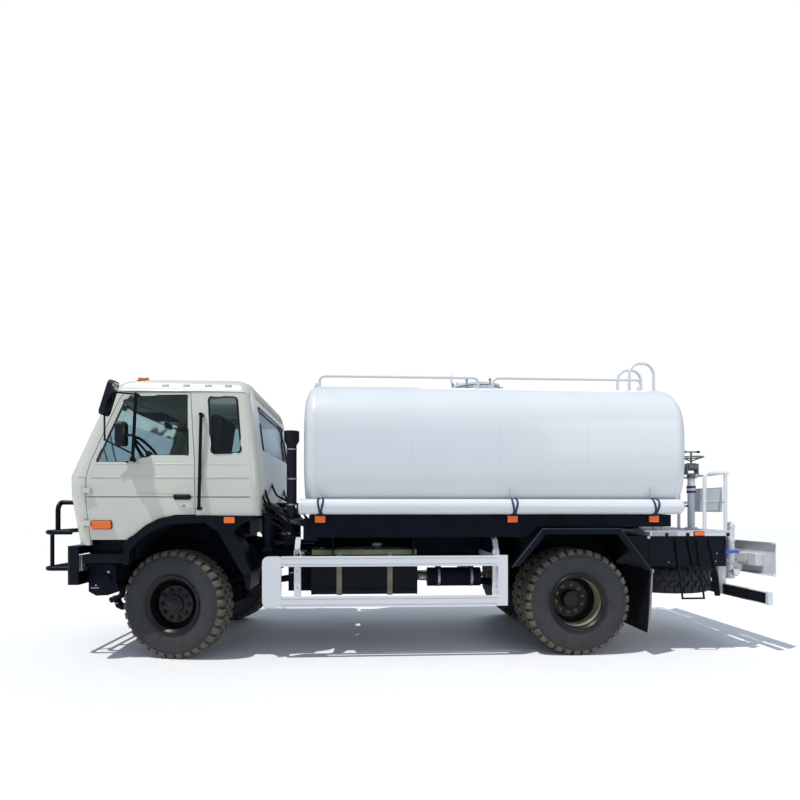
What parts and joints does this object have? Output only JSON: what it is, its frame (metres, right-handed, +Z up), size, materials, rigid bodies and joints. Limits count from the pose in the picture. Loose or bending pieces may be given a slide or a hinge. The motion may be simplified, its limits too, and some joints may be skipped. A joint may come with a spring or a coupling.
{
  "type": "tanker truck",
  "caption": "Off-road water tanker truck with a flat-fronted cab, rounded box-section tank, twin rear wheels and a rear work platform with a water cannon.",
  "frame": {"origin": "on the ground, midway between the front and rear ends of the truck, on its centre plane", "axes": "+X forwards, +Y to the left side of the truck, +Z up"},
  "size_m": [7.323, 2.748, 3.166],
  "materials": {
    "chassis_black": "satin dark paint",
    "body_black": "satin black",
    "fender_black": "satin black",
    "cab_paint": "gloss greenish grey-white",
    "tank_white": "gloss white",
    "tyre_rubber": "dusty matt rubber",
    "window_glass": "tinted clear",
    "seat_fabric": "woven",
    "black_plastic": "grained",
    "amber_lens": "clear-coated lens"
  },
  "bodies": {
    "root": {"chassis_frame": "chassis_black", "leaf_springs": "chassis_black", "front_axle": "chassis_black", "rear_axle": "chassis_black", "powertrain": "chassis_black", "cab_floor": "body_black", "cab_front_panel": "cab_paint", "cab_roof": "cab_paint", "cab_back_panel": "cab_paint", "cab_sides": "cab_paint", "cab_glass": "window_glass", "seats": "seat_fabric", "dashboard": "black_plastic", "grab_handles": "black_plastic", "wheel_arches": "body_black", "cab_steps": "body_black", "front_bumper": "body_black", "bull_bar": "black_plastic", "lamps": "amber_lens", "air_intake": "black_plastic", "fuel_tank": "body_black", "service_boxes": "body_black", "side_guards": "tank_white", "tank": "tank_white", "tank_subframe": "tank_white", "hose_tubes": "tank_white", "top_rails": "tank_white", "hatch_ring": "tank_white", "tank_ladder": "tank_white", "rear_fenders": "fender_black", "rear_platform": "tank_white", "platform_rails": "tank_white", "water_pipes": "tank_white", "spare_wheel": "tyre_rubber", "rear_bumper": "tank_white"},
    "door_left": {"door_left": "cab_paint", "door_glass_left": "window_glass", "mirrors_left": "black_plastic"},
    "door_right": {"door_right": "cab_paint", "door_glass_right": "window_glass", "mirrors_right": "black_plastic"},
    "knuckle_left": {"knuckle_left": "chassis_black"},
    "knuckle_right": {"knuckle_right": "chassis_black"},
    "tie_rod": {"tie_rod": "chassis_black"},
    "wheel_front_left": {"front_tyre_left": "tyre_rubber", "front_rim_left": "chassis_black"},
    "wheel_front_right": {"front_tyre_right": "tyre_rubber", "front_rim_right": "chassis_black"},
    "wheel_rear_left": {"rear_tyres_left": "tyre_rubber", "rear_rims_left": "chassis_black"},
    "wheel_rear_right": {"rear_tyres_right": "tyre_rubber", "rear_rims_right": "chassis_black"},
    "hatch_lid": {"hatch_lid": "tank_white"},
    "cannon_head": {"cannon_head": "tank_white"},
    "cannon_barrel": {"cannon_barrel": "tank_white"}
  },
  "joints": [
    {"name": "door_left_hinge", "type": "hinge", "parent": "root", "child": "door_left", "pos_m": [3.1505, 1.198, 1.485], "axis": [0, 0, -1], "range_deg": [0, 70]},
    {"name": "door_right_hinge", "type": "hinge", "parent": "root", "child": "door_right", "pos_m": [3.1505, -1.198, 1.485], "axis": [0, 0, 1], "range_deg": [0, 70]},
    {"name": "steer_left", "type": "hinge", "parent": "root", "child": "knuckle_left", "pos_m": [2.3285, 0.78, 0.53], "axis": [0, 0, 1], "range_deg": [-16, 40]},
    {"name": "steer_right", "type": "hinge", "parent": "root", "child": "knuckle_right", "pos_m": [2.3285, -0.78, 0.53], "axis": [0, 0, 1], "range_deg": [-16, 40]},
    {"name": "tie_rod_pivot", "type": "hinge", "parent": "knuckle_left", "child": "tie_rod", "pos_m": [2.10353, 0.82782, 0.33], "axis": [0, 0, 1], "range_deg": [-40, 16]},
    {"name": "wheel_front_left_spin", "type": "hinge", "parent": "knuckle_left", "child": "wheel_front_left", "pos_m": [2.3285, 0.78, 0.53], "axis": [0.2079, 0.9781, 0], "continuous": true},
    {"name": "wheel_front_right_spin", "type": "hinge", "parent": "knuckle_right", "child": "wheel_front_right", "pos_m": [2.3285, -0.78, 0.53], "axis": [0.2079, 0.9781, 0], "continuous": true},
    {"name": "wheel_rear_left_spin", "type": "hinge", "parent": "root", "child": "wheel_rear_left", "pos_m": [-1.6215, 0.847, 0.53], "axis": [0, 1, 0], "continuous": true},
    {"name": "wheel_rear_right_spin", "type": "hinge", "parent": "root", "child": "wheel_rear_right", "pos_m": [-1.6215, -0.847, 0.53], "axis": [0, 1, 0], "continuous": true},
    {"name": "hatch_hinge", "type": "hinge", "parent": "root", "child": "hatch_lid", "pos_m": [-1.1135, 0, 2.9143], "axis": [0, -1, 0], "range_deg": [0, 110]},
    {"name": "cannon_swivel", "type": "hinge", "parent": "root", "child": "cannon_head", "pos_m": [-3.0715, 0.65, 1.8005], "axis": [0, 0, 1], "range_deg": [-190, 10]},
    {"name": "cannon_tilt", "type": "hinge", "parent": "cannon_head", "child": "cannon_barrel", "pos_m": [-3.0715, 0.65, 1.93], "axis": [-1, 0, 0], "range_deg": [-5, 60]}
  ],
  "couplings": [
    {"joint": "steer_right", "follows": "steer_left", "ratio": 1},
    {"joint": "tie_rod_pivot", "follows": "steer_left", "ratio": -1}
  ]
}
